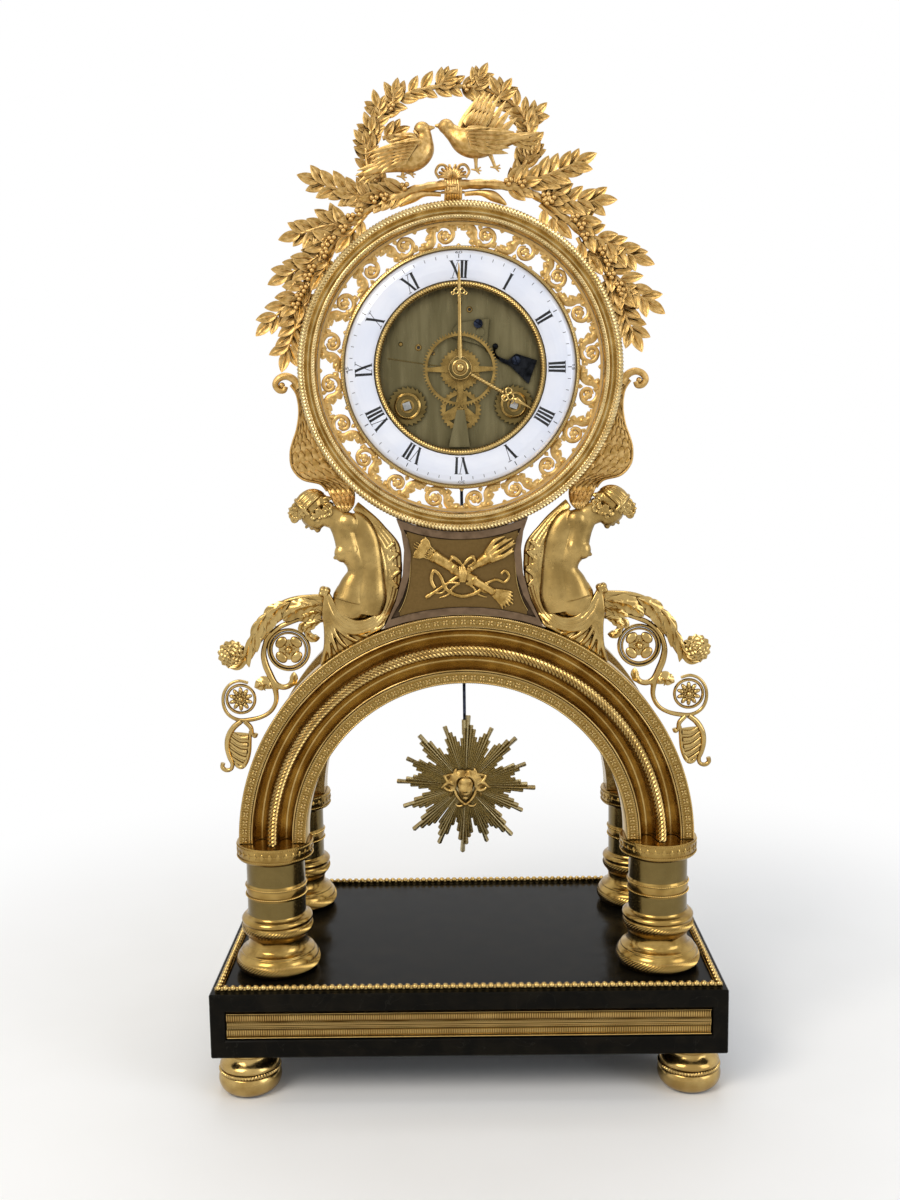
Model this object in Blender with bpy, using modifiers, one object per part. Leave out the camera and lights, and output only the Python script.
"""Skeleton clock: a gilt arch on four columns carries a round openwork dial, its movement,
a half-second pendulum with a sunburst bob, two winged figures and a wreath with doves.

Units are metres, +Z is up, the clock faces -Y, and the origin lies on the floor under the
middle of the marble base. Pieces that face the front are drawn in their own X and Y and
stood up, so that their own Z runs forward: a "depth" below is counted forward from the
clock's middle plane.
"""

import math

import bmesh
import bpy
from mathutils import Matrix, Vector

# Clearances
SEAT_GAP = 0.0003
RUNNING_GAP = 0.0003
OVERLAP = 0.0006
CUT_OVERRUN = 0.004
WELD = 0.000002

# Marble base and feet
BASE_MARGIN_X = 0.0090
BASE_MARGIN_Y = 0.0142
MARBLE_THICKNESS = 0.0349
MARBLE_EDGE = 0.0006
FOOT_HEIGHT = 0.0251
FOOT_RADIUS = 0.0168
FOOT_INSET_X = 0.0172
FOOT_INSET_Y = 0.0182
BEAD_WIDTH = 0.0038
BEAD_HEIGHT = 0.0030
BEAD_INSET = 0.0025
STRIP_INSET = 0.0087
STRIP_HEIGHT = 0.0139
STRIP_THICKNESS = 0.0028
STRIP_RECESS = 0.0032
STRIP_MARGIN = 0.0008

# Columns
COLUMN_SPACING_X = 0.2068
COLUMN_SPACING_Y = 0.0936
COLUMN_HEIGHT = 0.0716
COLUMN_BASE_RADIUS = 0.0226
COLUMN_SHAFT_RADIUS = 0.0155
CAPITAL_RADIUS = 0.0203

# Arches
ARCH_BAND = 0.0358
ARCH_DEPTH = 0.0180
ARCH_CROWN = 0.0056

# Dial
BEZEL_RADIUS = 0.0828
BEZEL_WIDTH = 0.0094
BEZEL_BACK_DEPTH = 0.0440
BEZEL_FRONT_DEPTH = 0.0580
FRET_BACK_DEPTH = 0.0490
FRET_THICKNESS = 0.0012
FRET_REPEATS = 20
FRET_WINDOW_RADIUS = 0.0047
FRET_BAND = 0.0141
ENAMEL_WIDTH = 0.0149
ENAMEL_CROWN = 0.0030
ENAMEL_THICKNESS = 0.0014
INNER_RING_WIDTH = 0.0024
INNER_RING_HEIGHT = 0.0058
DIAL_FOOT_RADIUS = 0.0025
DIAL_FOOT_INSET = 0.0080

# Plinth between the arch and the bezel
PLINTH_HEIGHT = 0.0440
PLINTH_TOP_HALF = 0.0340
PLINTH_WAIST_HALF = 0.0303
PLINTH_FOOT_HALF = 0.0416
PLINTH_WALL = 0.0034
PLINTH_FRONT_DEPTH = 0.0545
PLINTH_BORDER = 0.0036
PLINTH_RECESS = 0.0014
PLINTH_SEAT = 0.0006
TROPHY_HEIGHT = 0.0300
TROPHY_RELIEF = 0.0034

# Movement plates
PLATE_RADIUS = 0.0580
PLATE_THICKNESS = 0.0020
FRONT_PLATE_DEPTH = 0.0365
REAR_PLATE_DEPTH = -0.0050
PILLAR_RADIUS = 0.0030
PILLAR_CIRCLE = 0.0520
ARBOR_RADIUS = 0.0009
CENTRE_ARBOR_RADIUS = 0.0015
BARREL_ARBOR_RADIUS = 0.0030
PIVOT_SIDES = 8

# Wheels: teeth, and the distance between the two arbors of each pair
WHEEL_THICKNESS = 0.0014
PINION_LENGTH = 0.0036
MINUTE_HUB = 0.0035
HOUR_HUB = 0.0062
CENTRE_HUB = 0.0062
THIRD_HUB = 0.0045
ESCAPE_HUB = 0.0038
MOTION_DISTANCE = 0.0208
CANNON_TEETH = 30
MINUTE_TEETH = 30
MINUTE_PINION_LEAVES = 6
HOUR_TEETH = 72
BARREL_REACH_X = 0.0277
BARREL_DROP = 0.0184
GREAT_TEETH = 48
CENTRE_PINION_LEAVES = 10
CENTRE_TEETH = 72
THIRD_PINION_LEAVES = 6
THIRD_TEETH = 60
ESCAPE_PINION_LEAVES = 6
ESCAPE_TEETH = 30
CENTRE_DISTANCE = 0.0175
ESCAPE_DISTANCE = 0.0165
ESCAPE_RISE = 0.0180
ESCAPE_RADIUS = 0.0115
STRIKE_PINION_LEAVES = 8
PIN_WHEEL_RADIUS = 0.0098
PIN_COUNT = 8
PIN_LENGTH = 0.0022
PIN_RADIUS = 0.0006
DRUM_RADIUS = 0.0220
RATCHET_TEETH = 24
RATCHET_RADIUS = 0.0105
STRIKE_LEVER_X = 0.0290
STRIKE_LEVER_RISE = 0.0042
STRIKE_LEVER_SIZE = 0.0140
LOWER_COCK_LENGTH = 0.0190
UPPER_COCK_LENGTH = 0.0162

# Depths of the movement's layers
HOUR_HAND_DEPTH = 0.0575
HAND_CLEARANCE = 0.0016
HAND_THICKNESS = 0.0011
HOUR_WHEEL_DEPTH = 0.0445
CANNON_WHEEL_DEPTH = 0.0408
RATCHET_DEPTH = 0.0391
STRIKE_GREAT_DEPTH = 0.0342
GOING_GREAT_DEPTH = 0.0166
DRUM_LENGTH = 0.0156
CENTRE_WHEEL_DEPTH = 0.0106
PIN_WHEEL_DEPTH = 0.0126
THIRD_WHEEL_DEPTH = 0.0046
ESCAPE_WHEEL_DEPTH = -0.0006

# Hands
MINUTE_HAND_MARGIN = 0.0075
HOUR_HAND_MARGIN = 0.0031
HAND_BOSS_RADIUS = 0.0056
HAND_BAR = 0.0017
HAND_SCROLL_RADIUS = 0.0026
CANNON_PIPE_RADIUS = 0.0026
HOUR_PIPE_RADIUS = 0.0040
PIPE_WALL = 0.0008

# Pendulum, anchor, bell and hammer
ANCHOR_RISE = 0.0343
SWING_DEPTH = -0.0120
PENDULUM_LENGTH = 0.2703
ROD_RADIUS = 0.0009
BOB_RADIUS = 0.0412
BOB_RAYS = 16
BOB_THICKNESS = 0.0016
MASK_RADIUS = 0.0095
ANCHOR_SPAN = 0.0122
ANCHOR_WAIST = 0.0036
PALLET_WIDTH = 0.0024
CRUTCH_LENGTH = 0.0300
COCK_DEPTH = -0.0090
COCK_HALF = 0.0140
COCK_HEIGHT = 0.0060
COCK_LEG = 0.0044
SPRING_WIDTH = 0.0030
SPRING_LENGTH = 0.0080
BELL_RADIUS = 0.0260
BELL_HEIGHT = 0.0180
BELL_WALL = 0.0016
BELL_OFFSET_X = -0.0220
BELL_OFFSET_Z = 0.0100
BELL_RIM_DEPTH = -0.0160
HAMMER_REACH = 0.0160
HAMMER_TAIL = 0.0172

# Cast ornament
FIGURE_DEPTH = 0.0505
FIGURE_THICKNESS = 0.0130
FIGURE_GRID = 0.100
SCROLL_DEPTH = 0.0470
SCROLL_ROD = 0.0016
ROSETTE_RADIUS = 0.0072
WING_BACK_DEPTH = 0.0397
WING_THICKNESS = 0.0040
SPRAY_DEPTH = 0.0486
SPRAY_STEM = 0.0024
WREATH_DEPTH = 0.0446
WREATH_STEM = 0.0015
LEAF_LENGTH = 0.0135
LEAF_WIDTH = 0.0062
LEAF_THICKNESS = 0.0018
LEAF_STAGGER = 0.0003
DOVE_DEPTH = 0.0562
DOVE_GRID = 0.050
DOVE_THICKNESS_SHARE = 0.75
KNOT_WIDTH = 0.0080

# Places worked out from the sizes above
MARBLE_TOP = FOOT_HEIGHT + MARBLE_THICKNESS
COLUMN_X = COLUMN_SPACING_X / 2
COLUMN_Y = COLUMN_SPACING_Y / 2
BASE_WIDTH = 2 * (COLUMN_X + COLUMN_BASE_RADIUS + BASE_MARGIN_X)
BASE_DEPTH = 2 * (COLUMN_Y + COLUMN_BASE_RADIUS + BASE_MARGIN_Y)
STRIP_WIDTH = BASE_WIDTH - 2 * STRIP_INSET
COLUMN_TOP = MARBLE_TOP + SEAT_GAP + COLUMN_HEIGHT
ARCH_HEIGHT = COLUMN_TOP + SEAT_GAP
ARCH_OUTER = COLUMN_X + ARCH_BAND / 2
ARCH_INNER = COLUMN_X - ARCH_BAND / 2
DIAL_HEIGHT = ARCH_HEIGHT + ARCH_OUTER + PLINTH_HEIGHT + BEZEL_RADIUS
BEZEL_INNER = BEZEL_RADIUS - BEZEL_WIDTH
ENAMEL_RADIUS = BEZEL_INNER - SEAT_GAP - FRET_BAND
ENAMEL_BORE = ENAMEL_RADIUS - ENAMEL_WIDTH
INNER_RING_RADIUS = ENAMEL_BORE - 2 * SEAT_GAP
DIAL_FOOT_CIRCLE = PLATE_RADIUS - DIAL_FOOT_INSET
MINUTE_HAND_DEPTH = HOUR_HAND_DEPTH + HAND_THICKNESS + HAND_CLEARANCE
MINUTE_HAND_LENGTH = ENAMEL_RADIUS - MINUTE_HAND_MARGIN
HOUR_HAND_LENGTH = ENAMEL_BORE - HOUR_HAND_MARGIN
FRET_FRONT_DEPTH = FRET_BACK_DEPTH + FRET_THICKNESS
ENAMEL_DEPTH = FRET_FRONT_DEPTH + SEAT_GAP
PLATE_FRONT = FRONT_PLATE_DEPTH + PLATE_THICKNESS
REAR_PLATE_FRONT = REAR_PLATE_DEPTH + PLATE_THICKNESS
ARBOR_BACK = REAR_PLATE_DEPTH + OVERLAP
ARBOR_FRONT = PLATE_FRONT - OVERLAP
BARREL_DISTANCE = math.hypot(BARREL_REACH_X, BARREL_DROP)
GREAT_MODULE = 2 * BARREL_DISTANCE / (GREAT_TEETH + CENTRE_PINION_LEAVES)
MOTION_MODULE = 2 * MOTION_DISTANCE / (CANNON_TEETH + MINUTE_TEETH)
HOUR_MODULE = 2 * MOTION_DISTANCE / (HOUR_TEETH + MINUTE_PINION_LEAVES)
CENTRE_MODULE = 2 * CENTRE_DISTANCE / (CENTRE_TEETH + THIRD_PINION_LEAVES)
THIRD_MODULE = 2 * ESCAPE_DISTANCE / (THIRD_TEETH + ESCAPE_PINION_LEAVES)
STRIKE_DISTANCE = GREAT_MODULE * (GREAT_TEETH + STRIKE_PINION_LEAVES) / 2
PIVOT_HEIGHT = DIAL_HEIGHT + ANCHOR_RISE

SOLIDS = bpy.data.collections.new("skeleton_clock")
CUTTERS = bpy.data.collections.new("cutters")


# Scene and materials
def clear_scene():
    for obj in list(bpy.data.objects):
        bpy.data.objects.remove(obj, do_unlink=True)
    for collection in (SOLIDS, CUTTERS):
        bpy.context.scene.collection.children.link(collection)


def surface(name, colour, roughness, metallic):
    material = bpy.data.materials.new(name)
    material.use_nodes = True
    shader = material.node_tree.nodes["Principled BSDF"]
    shader.inputs["Base Color"].default_value = (*colour, 1.0)
    shader.inputs["Roughness"].default_value = roughness
    shader.inputs["Metallic"].default_value = metallic
    material.diffuse_color = (*colour, 1.0)
    return material


def finish(obj, name, material):
    obj.name = name
    obj.data.name = name
    obj.data.materials.clear()
    obj.data.materials.append(surface(name, *material))
    return obj


MATTE_GILT = ((0.53, 0.30, 0.07), 0.42, 1.0)
BURNISHED_GILT = ((0.62, 0.38, 0.10), 0.22, 1.0)
DARK_BRASS = ((0.30, 0.22, 0.07), 0.30, 1.0)
PLATE_BRASS = ((0.30, 0.26, 0.10), 0.38, 1.0)
WHEEL_BRASS = ((0.36, 0.27, 0.09), 0.32, 1.0)
OLIVE_BRONZE = ((0.22, 0.17, 0.07), 0.40, 1.0)
PATINATED_FRAME = ((0.17, 0.11, 0.07), 0.50, 0.6)
BLUED_STEEL = ((0.02, 0.03, 0.06), 0.30, 1.0)
POLISHED_STEEL = ((0.45, 0.45, 0.46), 0.22, 1.0)
BLACK_MARBLE = ((0.006, 0.006, 0.006), 0.18, 0.0)
WHITE_ENAMEL = ((0.72, 0.77, 0.86), 0.08, 0.0)
BELL_METAL = ((0.45, 0.36, 0.20), 0.25, 1.0)


# Shapes
def add_object(name, data):
    obj = bpy.data.objects.new(name, data)
    SOLIDS.objects.link(obj)
    return obj


def mesh_object(name, build):
    """An object whose mesh the function build fills in."""
    mesh = bpy.data.meshes.new(name)
    shape = bmesh.new()
    build(shape)
    shape.to_mesh(mesh)
    shape.free()
    return add_object(name, mesh)


def facing(obj, x=0.0, z=0.0, depth=0.0):
    """Stands a flat piece up so that its own Z runs forward."""
    obj.rotation_euler = (math.pi / 2, 0.0, 0.0)
    obj.location = (x, -depth, z)
    return obj


def box(name, size, centre):
    def build(shape):
        bmesh.ops.create_cube(shape, size=1.0)
        bmesh.ops.scale(shape, vec=size, verts=shape.verts)
        bmesh.ops.translate(shape, vec=centre, verts=shape.verts)
    return mesh_object(name, build)


def ball(name, centre, radii, segments=8, rings=6, turn=0.0):
    """An ellipsoid in the front plane, turned about its forward axis."""
    def build(shape):
        bmesh.ops.create_uvsphere(shape, u_segments=segments, v_segments=rings, radius=1.0)
        place = Matrix.Translation(centre) @ Matrix.Rotation(turn, 4, "Z") @ Matrix.Diagonal((*radii, 1.0))
        bmesh.ops.transform(shape, matrix=place, verts=shape.verts)
    return mesh_object(name, build)


def rod(name, radius, low, high, x=0.0, y=0.0, sides=PIVOT_SIDES):
    """A round bar along the piece's own Z."""
    def build(shape):
        bmesh.ops.create_cone(shape, cap_ends=True, segments=sides, radius1=radius, radius2=radius,
                              depth=high - low)
        bmesh.ops.translate(shape, vec=(x, y, (high + low) / 2), verts=shape.verts)
    return mesh_object(name, build)


def turned(name, profile, segments, closed=False):
    """A profile of (radius, height) points, outer side from top to bottom, turned about Z."""
    def build(shape):
        points = [shape.verts.new((radius, 0.0, height)) for radius, height in profile]
        for first, second in zip(points, points[1:]):
            shape.edges.new((first, second))
        if closed:
            shape.edges.new((points[-1], points[0]))
    obj = mesh_object(name, build)
    screw = obj.modifiers.new("turn", "SCREW")
    screw.steps = segments
    screw.render_steps = segments
    screw.use_merge_vertices = True
    screw.merge_threshold = 5 * WELD
    screw.use_smooth_shade = True
    return obj


def flat(name, outlines, thickness, depth=0.0):
    """Closed outlines filled and given a thickness; inner outlines become openings."""
    curve = bpy.data.curves.new(name, "CURVE")
    curve.dimensions = "2D"
    curve.fill_mode = "BOTH"
    curve.extrude = thickness / 2
    for outline in outlines:
        spline = curve.splines.new("POLY")
        spline.points.add(len(outline) - 1)
        for point, (x, y) in zip(spline.points, outline):
            point.co = (x, y, 0.0, 1.0)
        spline.use_cyclic_u = True
    obj = add_object(name, curve)
    obj.location = (0.0, 0.0, depth + thickness / 2)
    return obj


def tube(name, points, radii, sides_each=2, cyclic=False):
    """A bar along points of (x, y, z), with a radius at each point."""
    curve = bpy.data.curves.new(name, "CURVE")
    curve.dimensions = "3D"
    curve.bevel_depth = max(radii)
    curve.bevel_resolution = sides_each
    curve.use_fill_caps = not cyclic
    spline = curve.splines.new("POLY")
    spline.points.add(len(points) - 1)
    for point, place, radius in zip(spline.points, points, radii):
        point.co = (*place, 1.0)
        point.radius = radius / max(radii)
    spline.use_cyclic_u = cyclic
    return add_object(name, curve)


def evaluated_mesh(obj):
    bpy.context.view_layer.update()
    graph = bpy.context.evaluated_depsgraph_get()
    mesh = bpy.data.meshes.new_from_object(obj.evaluated_get(graph), depsgraph=graph)
    shape = bmesh.new()
    shape.from_mesh(mesh)
    bmesh.ops.remove_doubles(shape, verts=shape.verts, dist=WELD)
    bmesh.ops.recalc_face_normals(shape, faces=shape.faces)
    shape.to_mesh(mesh)
    shape.free()
    return mesh


def solid(obj):
    """The object as a welded mesh that a Boolean can take."""
    mesh = evaluated_mesh(obj)
    made = add_object(obj.name, mesh)
    made.matrix_world = obj.matrix_world.copy()
    bpy.data.objects.remove(obj, do_unlink=True)
    return made


def combined(base, others, operation):
    """The base with the other solids added to it or cut from it, as one new mesh."""
    base = solid(base)
    tools = [solid(other) for other in others]
    held = bpy.data.collections.new("held")
    for tool in tools:
        held.objects.link(tool)
    change = base.modifiers.new("combine", "BOOLEAN")
    change.operation = operation
    change.solver = "EXACT"
    change.operand_type = "COLLECTION"
    change.collection = held
    mesh = evaluated_mesh(base)
    base.modifiers.clear()
    base.data = mesh
    for tool in tools:
        bpy.data.objects.remove(tool, do_unlink=True)
    bpy.data.collections.remove(held)
    return base


def joined(base, others):
    return combined(base, others, "UNION")


def cut(base, cutters):
    return combined(base, cutters, "DIFFERENCE")


def smooth(obj, angle=math.radians(35)):
    obj.data.shade_smooth()
    obj.data.set_sharp_from_angle(angle=angle)
    return obj


def scaled_points(shares, size, centre=(0.0, 0.0)):
    return [(centre[0] + x * size, centre[1] + y * size) for x, y in shares]


def around(centre, radius, degrees):
    """A point at a clock angle, counted clockwise from upright."""
    angle = math.radians(degrees)
    return centre[0] + radius * math.sin(angle), centre[1] + radius * math.cos(angle)


def circle(radius, sides, centre=(0.0, 0.0), start=0.0):
    return [around(centre, radius, start + 360 * i / sides) for i in range(sides)]


def hole(radius, sides, centre=(0.0, 0.0)):
    """A round hole whose flats, not its corners, lie at the radius."""
    return circle(radius / math.cos(math.pi / sides), sides, centre)


def on_arch(degrees, height):
    return around((0.0, ARCH_HEIGHT), ARCH_OUTER + height, degrees)


def on_bezel(degrees, height):
    return around((0.0, DIAL_HEIGHT), BEZEL_RADIUS + height, degrees)


def mirrored(points):
    return [(-x, y) for x, y in reversed(points)]


# Base
def marble_base():
    slab = box("marble_base", (BASE_WIDTH, BASE_DEPTH, MARBLE_THICKNESS),
               (0.0, 0.0, FOOT_HEIGHT + MARBLE_THICKNESS / 2))
    recess_height = STRIP_HEIGHT + 2 * STRIP_MARGIN
    recess = box("recess", (STRIP_WIDTH + 2 * STRIP_MARGIN, 2 * STRIP_RECESS, recess_height),
                 (0.0, -BASE_DEPTH / 2, FOOT_HEIGHT + MARBLE_THICKNESS / 2))
    slab = cut(slab, [recess])
    edge = slab.modifiers.new("edge", "BEVEL")
    edge.width = MARBLE_EDGE
    edge.segments = 1
    edge.limit_method = "ANGLE"
    return finish(slab, "marble_base", BLACK_MARBLE)


def feet():
    profile_shares = ((0.0, 1.0), (0.74, 1.0), (0.72, 0.76), (0.93, 0.60), (0.98, 0.50),
                      (0.93, 0.43), (1.0, 0.33), (0.98, 0.14), (0.74, 0.0), (0.0, 0.0))
    height = FOOT_HEIGHT - SEAT_GAP
    profile = [(r * FOOT_RADIUS, z * height) for r, z in profile_shares]
    for name, side, front in (("front_left", -1, -1), ("front_right", 1, -1),
                              ("rear_left", -1, 1), ("rear_right", 1, 1)):
        foot = turned("foot", profile, 12)
        x = side * (BASE_WIDTH / 2 - FOOT_INSET_X)
        foot.location = (x, front * (BASE_DEPTH / 2 - FOOT_INSET_Y), 0.0)
        finish(foot, "foot_" + name, BURNISHED_GILT)


def half_round(name, length, width, height):
    """A beading strip along X with a rounded top, resting on its underside."""
    top_shares = ((-0.5, 0.0), (0.5, 0.0), (0.5, 0.45), (0.22, 1.0), (-0.22, 1.0), (-0.5, 0.45))
    strip = flat(name, [[(x * width, y * height) for x, y in top_shares]], length)
    strip.location = (0.0, 0.0, 0.0)
    strip.rotation_euler = (math.pi / 2, 0.0, math.pi / 2)
    return strip


def bead_border():
    z = MARBLE_TOP + SEAT_GAP
    long_side = BASE_WIDTH - 2 * BEAD_INSET
    short_side = BASE_DEPTH - 2 * (BEAD_INSET + BEAD_WIDTH + SEAT_GAP)
    x = BASE_WIDTH / 2 - BEAD_INSET - BEAD_WIDTH / 2
    y = BASE_DEPTH / 2 - BEAD_INSET - BEAD_WIDTH / 2
    for name, place, length, across in (("front", (0.0, -y, z), long_side, False),
                                        ("rear", (0.0, y, z), long_side, False),
                                        ("left", (-x, 0.0, z), short_side, True),
                                        ("right", (x, 0.0, z), short_side, True)):
        strip = half_round("bead", length, BEAD_WIDTH, BEAD_HEIGHT)
        if across:
            strip.rotation_euler = (math.pi / 2, 0.0, 0.0)
        strip.location = place
        finish(strip, "bead_border_" + name, MATTE_GILT)


def front_strip():
    """Two ribbed mouldings beside a groove, let into the front of the marble."""
    section_shares = ((-0.5, 0.0), (0.5, 0.0), (0.5, 0.45), (0.42, 0.85), (0.26, 1.0),
                      (0.10, 0.75), (0.0, 0.45), (-0.10, 0.75), (-0.26, 1.0), (-0.42, 0.85),
                      (-0.5, 0.45))
    section = [(x * STRIP_HEIGHT, y * STRIP_THICKNESS) for x, y in section_shares]
    strip = flat("front_strip", [section], STRIP_WIDTH)
    strip.rotation_euler = (math.pi, math.pi / 2, 0.0)
    seat = BASE_DEPTH / 2 - STRIP_RECESS + SEAT_GAP
    strip.location = (0.0, -seat, FOOT_HEIGHT + MARBLE_THICKNESS / 2)
    finish(strip, "front_strip", MATTE_GILT)


def columns():
    base = COLUMN_BASE_RADIUS
    shaft = COLUMN_SHAFT_RADIUS
    profile_shares = ((0.0, 1.0, 0.0), (CAPITAL_RADIUS, 1.0, 0.0), (CAPITAL_RADIUS, 0.88, 0.0),
                      (shaft, 0.85, 0.0), (shaft, 0.68, 0.0), (shaft, 0.66, 0.045), (shaft, 0.60, 0.045),
                      (shaft, 0.58, 0.0), (shaft, 0.42, 0.0), (shaft, 0.39, 0.20), (shaft, 0.34, 0.20),
                      (shaft, 0.25, 0.08), (shaft, 0.19, -0.08), (base, 0.165, -0.16), (base, 0.13, -0.03),
                      (base, 0.08, 0.0), (base, 0.02, -0.05), (base, 0.0, -0.16), (0.0, 0.0, 0.0))
    profile = [(radius * (1 + swell), height * COLUMN_HEIGHT) for radius, height, swell in profile_shares]
    for name, side, front in (("front_left", -1, -1), ("front_right", 1, -1),
                              ("rear_left", -1, 1), ("rear_right", 1, 1)):
        column = turned("column", profile, 12)
        column.location = (side * COLUMN_X, front * COLUMN_Y, MARBLE_TOP + SEAT_GAP)
        finish(column, "column_" + name, DARK_BRASS)


# Arches
def arch(name, front):
    """A half ring of moulded section: two deep flutes, with a round ridge between them."""
    half_shares = ((1.0, 0.0), (1.0, 1.0), (0.68, 1.0), (0.61, 0.90), (0.56, 0.70), (0.48, 0.55),
                   (0.39, 0.51), (0.30, 0.58), (0.22, 0.78), (0.16, 1.05), (0.14, 1.50), (0.06, 1.90))
    section_shares = half_shares + tuple((-x, y) for x, y in reversed(half_shares))
    half_band = ARCH_BAND / 2
    back = -ARCH_DEPTH / 2

    def depth_of(share):
        """Up to 1 it runs from the back to the flat bands, and from 1 to 2 up to the rope."""
        if share <= 1:
            return back + share * ARCH_DEPTH
        return ARCH_DEPTH / 2 + (share - 1) * ARCH_CROWN

    def build(shape):
        points = [shape.verts.new((COLUMN_X + x * half_band, 0.0, depth_of(y)))
                  for x, y in section_shares]
        section = shape.faces.new(points)
        steps = 24
        bmesh.ops.spin(shape, geom=[section, *section.edges, *section.verts], angle=math.pi,
                       steps=steps, axis=(0.0, 0.0, 1.0), cent=(0.0, 0.0, 0.0))
        bmesh.ops.recalc_face_normals(shape, faces=shape.faces)
    half_ring = mesh_object(name, build)
    facing(half_ring, z=ARCH_HEIGHT, depth=COLUMN_Y)
    if front < 0:
        return finish(half_ring, name, BURNISHED_GILT)
    half_ring.rotation_euler = (math.pi / 2, 0.0, math.pi)
    half_ring.location = (0.0, COLUMN_Y, ARCH_HEIGHT)
    return finish(half_ring, name, BURNISHED_GILT)


# Plinth
def plinth_outline(inset):
    """The concave sides, with the bezel's curve above and the arch's curve below."""
    top = DIAL_HEIGHT - BEZEL_RADIUS
    top_half = PLINTH_TOP_HALF - inset
    foot_half = PLINTH_FOOT_HALF - inset
    waist_half = PLINTH_WAIST_HALF - inset
    bezel_edge = BEZEL_RADIUS + PLINTH_SEAT + inset
    arch_edge = ARCH_OUTER + PLINTH_SEAT + inset
    upper = DIAL_HEIGHT - math.sqrt(bezel_edge**2 - top_half**2)
    lower = ARCH_HEIGHT + math.sqrt(arch_edge**2 - foot_half**2)
    side = []
    side_shares = ((0.0, 1.0), (0.25, 0.42), (0.5, 0.08), (0.72, 0.0), (0.88, 0.35))
    for height, flare in side_shares:
        z = lower + height * (upper - lower)
        edge = foot_half if height < 0.6 else top_half
        side.append((waist_half + flare * (edge - waist_half), z))
    side.append((top_half, upper))
    right_bottom = []
    for share in (0.0, 0.25, 0.5, 0.75):
        x = foot_half * share
        right_bottom.append((x, ARCH_HEIGHT + math.sqrt(arch_edge**2 - x**2)))
    right_top = []
    for share in (0.75, 0.5, 0.25):
        x = top_half * share
        right_top.append((x, DIAL_HEIGHT - math.sqrt(bezel_edge**2 - x**2)))
    middle_top = [(0.0, top - PLINTH_SEAT - inset)]
    right = [*right_bottom, *side, *right_top]
    return right + middle_top + mirrored(right[1:])


def plinth():
    """A waisted case, open above and below so that the pendulum can hang through it."""
    case = flat("plinth", [plinth_outline(0.0)], 2 * PLINTH_FRONT_DEPTH, -PLINTH_FRONT_DEPTH)
    inside_half = PLINTH_WAIST_HALF - PLINTH_WALL
    inside_depth = 2 * (PLINTH_FRONT_DEPTH - PLINTH_WALL)
    height = DIAL_HEIGHT - ARCH_HEIGHT
    inside = box("inside", (2 * inside_half, height, inside_depth), (0.0, ARCH_HEIGHT + height / 2, 0.0))
    floor = PLINTH_FRONT_DEPTH - PLINTH_RECESS
    panel = flat("panel", [plinth_outline(PLINTH_BORDER)], 2 * PLINTH_RECESS, floor)
    for piece in (case, inside, panel):
        piece.rotation_euler = (math.pi / 2, 0.0, 0.0)
    case.location = (0.0, 0.0, 0.0)
    panel.location = (0.0, -PLINTH_FRONT_DEPTH, 0.0)
    front_wall = BEZEL_BACK_DEPTH - SEAT_GAP - PLINTH_WALL
    notch_depth = 2 * PLINTH_FRONT_DEPTH
    notch_height = PLINTH_FOOT_HALF
    notch_middle = DIAL_HEIGHT - BEZEL_RADIUS + notch_height / 2 - PLINTH_WALL
    notch = box("notch", (4 * PLINTH_FOOT_HALF, notch_depth, notch_height),
                (0.0, notch_depth / 2 - front_wall, notch_middle))
    return finish(cut(case, [inside, panel, notch]), "plinth", PATINATED_FRAME)


def trophy():
    """A quiver and a torch crossed over a bow, tied with a ribbon."""
    size = TROPHY_HEIGHT
    centre = (0.0, (ARCH_HEIGHT + ARCH_OUTER + DIAL_HEIGHT - BEZEL_RADIUS) / 2)
    floor = PLINTH_FRONT_DEPTH - PLINTH_RECESS + SEAT_GAP
    middle = floor + TROPHY_RELIEF / 2
    quiver_shares = ((-0.72, 0.40), (-0.40, 0.24), (0.30, -0.20), (0.78, -0.46))
    torch_shares = ((-0.72, -0.46), (0.10, 0.06), (0.48, 0.28), (0.80, 0.44))
    quiver = [(x, y, middle) for x, y in scaled_points(quiver_shares, size, centre)]
    torch = [(x, y, middle) for x, y in scaled_points(torch_shares, size, centre)]
    bow = [(*around((centre[0], centre[1] + 0.12 * size), 0.52 * size, turn), middle)
           for turn in (105, 130, 155, 180, 205, 230, 255)]
    half = TROPHY_RELIEF / 2
    parts = [tube("quiver", quiver, [1.6 * half, 1.2 * half, half, 0.8 * half], 1),
             tube("torch", torch, [0.5 * half, 0.7 * half, 1.3 * half, 1.7 * half], 1),
             tube("bow", bow, [0.55 * half] * len(bow), 1),
             ball("bow_knot", (*centre, middle), (0.13 * size, 0.26 * size, 1.2 * half), 8, 4)]
    for part in parts:
        facing(part)
    trophy_piece = joined(parts[0], parts[1:])
    backing = box("backing", (4 * size, size, 4 * size), (0.0, -floor + size / 2, centre[1]))
    return finish(smooth(cut(trophy_piece, [backing])), "trophy", MATTE_GILT)


# Dial
def bezel():
    width = BEZEL_WIDTH
    low = BEZEL_BACK_DEPTH
    rise = BEZEL_FRONT_DEPTH - BEZEL_BACK_DEPTH
    profile_shares = ((0.0, 0.78), (1.0, 0.62), (1.0, 0.0), (0.0, 0.0))
    crown_shares = ((0.28, 1.0), (0.55, 0.82), (0.80, 1.0))
    inner = BEZEL_INNER
    crown = [(inner + share * width, low + height * rise) for share, height in crown_shares]
    first, *rest = [(inner + share * width, low + height * rise) for share, height in profile_shares]
    ring = turned("bezel", [first, *crown, *rest], 40, closed=True)
    facing(ring, z=DIAL_HEIGHT)
    return finish(ring, "bezel", BURNISHED_GILT)


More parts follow.
